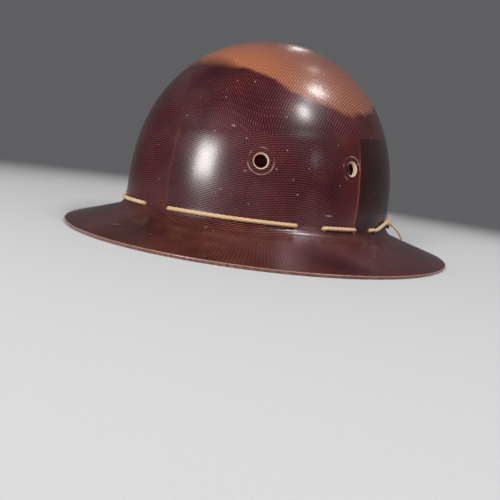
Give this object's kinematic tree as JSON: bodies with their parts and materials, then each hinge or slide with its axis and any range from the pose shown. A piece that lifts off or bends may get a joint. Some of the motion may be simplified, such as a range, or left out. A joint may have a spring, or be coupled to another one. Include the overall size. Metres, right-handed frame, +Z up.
{
  "type": "safety helmet",
  "caption": "Full-brim safety helmet with a moulded laminate shell, a lace through its base, a webbing cradle and a headband with a nape buckle.",
  "frame": {"origin": "centre of the bounding box at the ground, where the brim's edge rests", "axes": "front faces -Y, the wearer's left is +X, +Z up"},
  "size_m": [0.29, 0.3264, 0.1569],
  "materials": {
    "shell": "gloss",
    "lace": "matte",
    "webbing": "matte",
    "leather": "satin",
    "leather_strap": "satin",
    "band": "matte",
    "rivet": "satin",
    "buckle": "satin"
  },
  "bodies": {
    "helmet": {"shell": "shell", "lace": "lace", "lace_knot": "lace", "crown_strap_1": "webbing", "crown_strap_2": "webbing", "crown_strap_3": "webbing", "crown_strap_4": "webbing", "crown_pad": "leather", "headband": "band", "sweatband": "leather", "strap_rivets": "rivet", "nape_strap": "leather_strap", "nape_rivets": "rivet", "buckle_base": "buckle", "buckle_rivets": "rivet", "buckle_pin": "buckle"},
    "lever": {"buckle_lever": "buckle"},
    "keeper": {"strap_keeper": "leather_strap"}
  },
  "joints": [
    {"name": "buckle_lever_swing", "type": "hinge", "parent": "helmet", "child": "lever", "pos_m": [0.0358, 0.09351, 0.0155], "axis": [0, 0, 1], "range_deg": [0, 85]},
    {"name": "keeper_slide", "type": "hinge", "parent": "helmet", "child": "keeper", "pos_m": [-0.03841, -0.0034, 0.0155], "axis": [0, 0, 1], "range_deg": [-3.8, 3.8]}
  ]
}
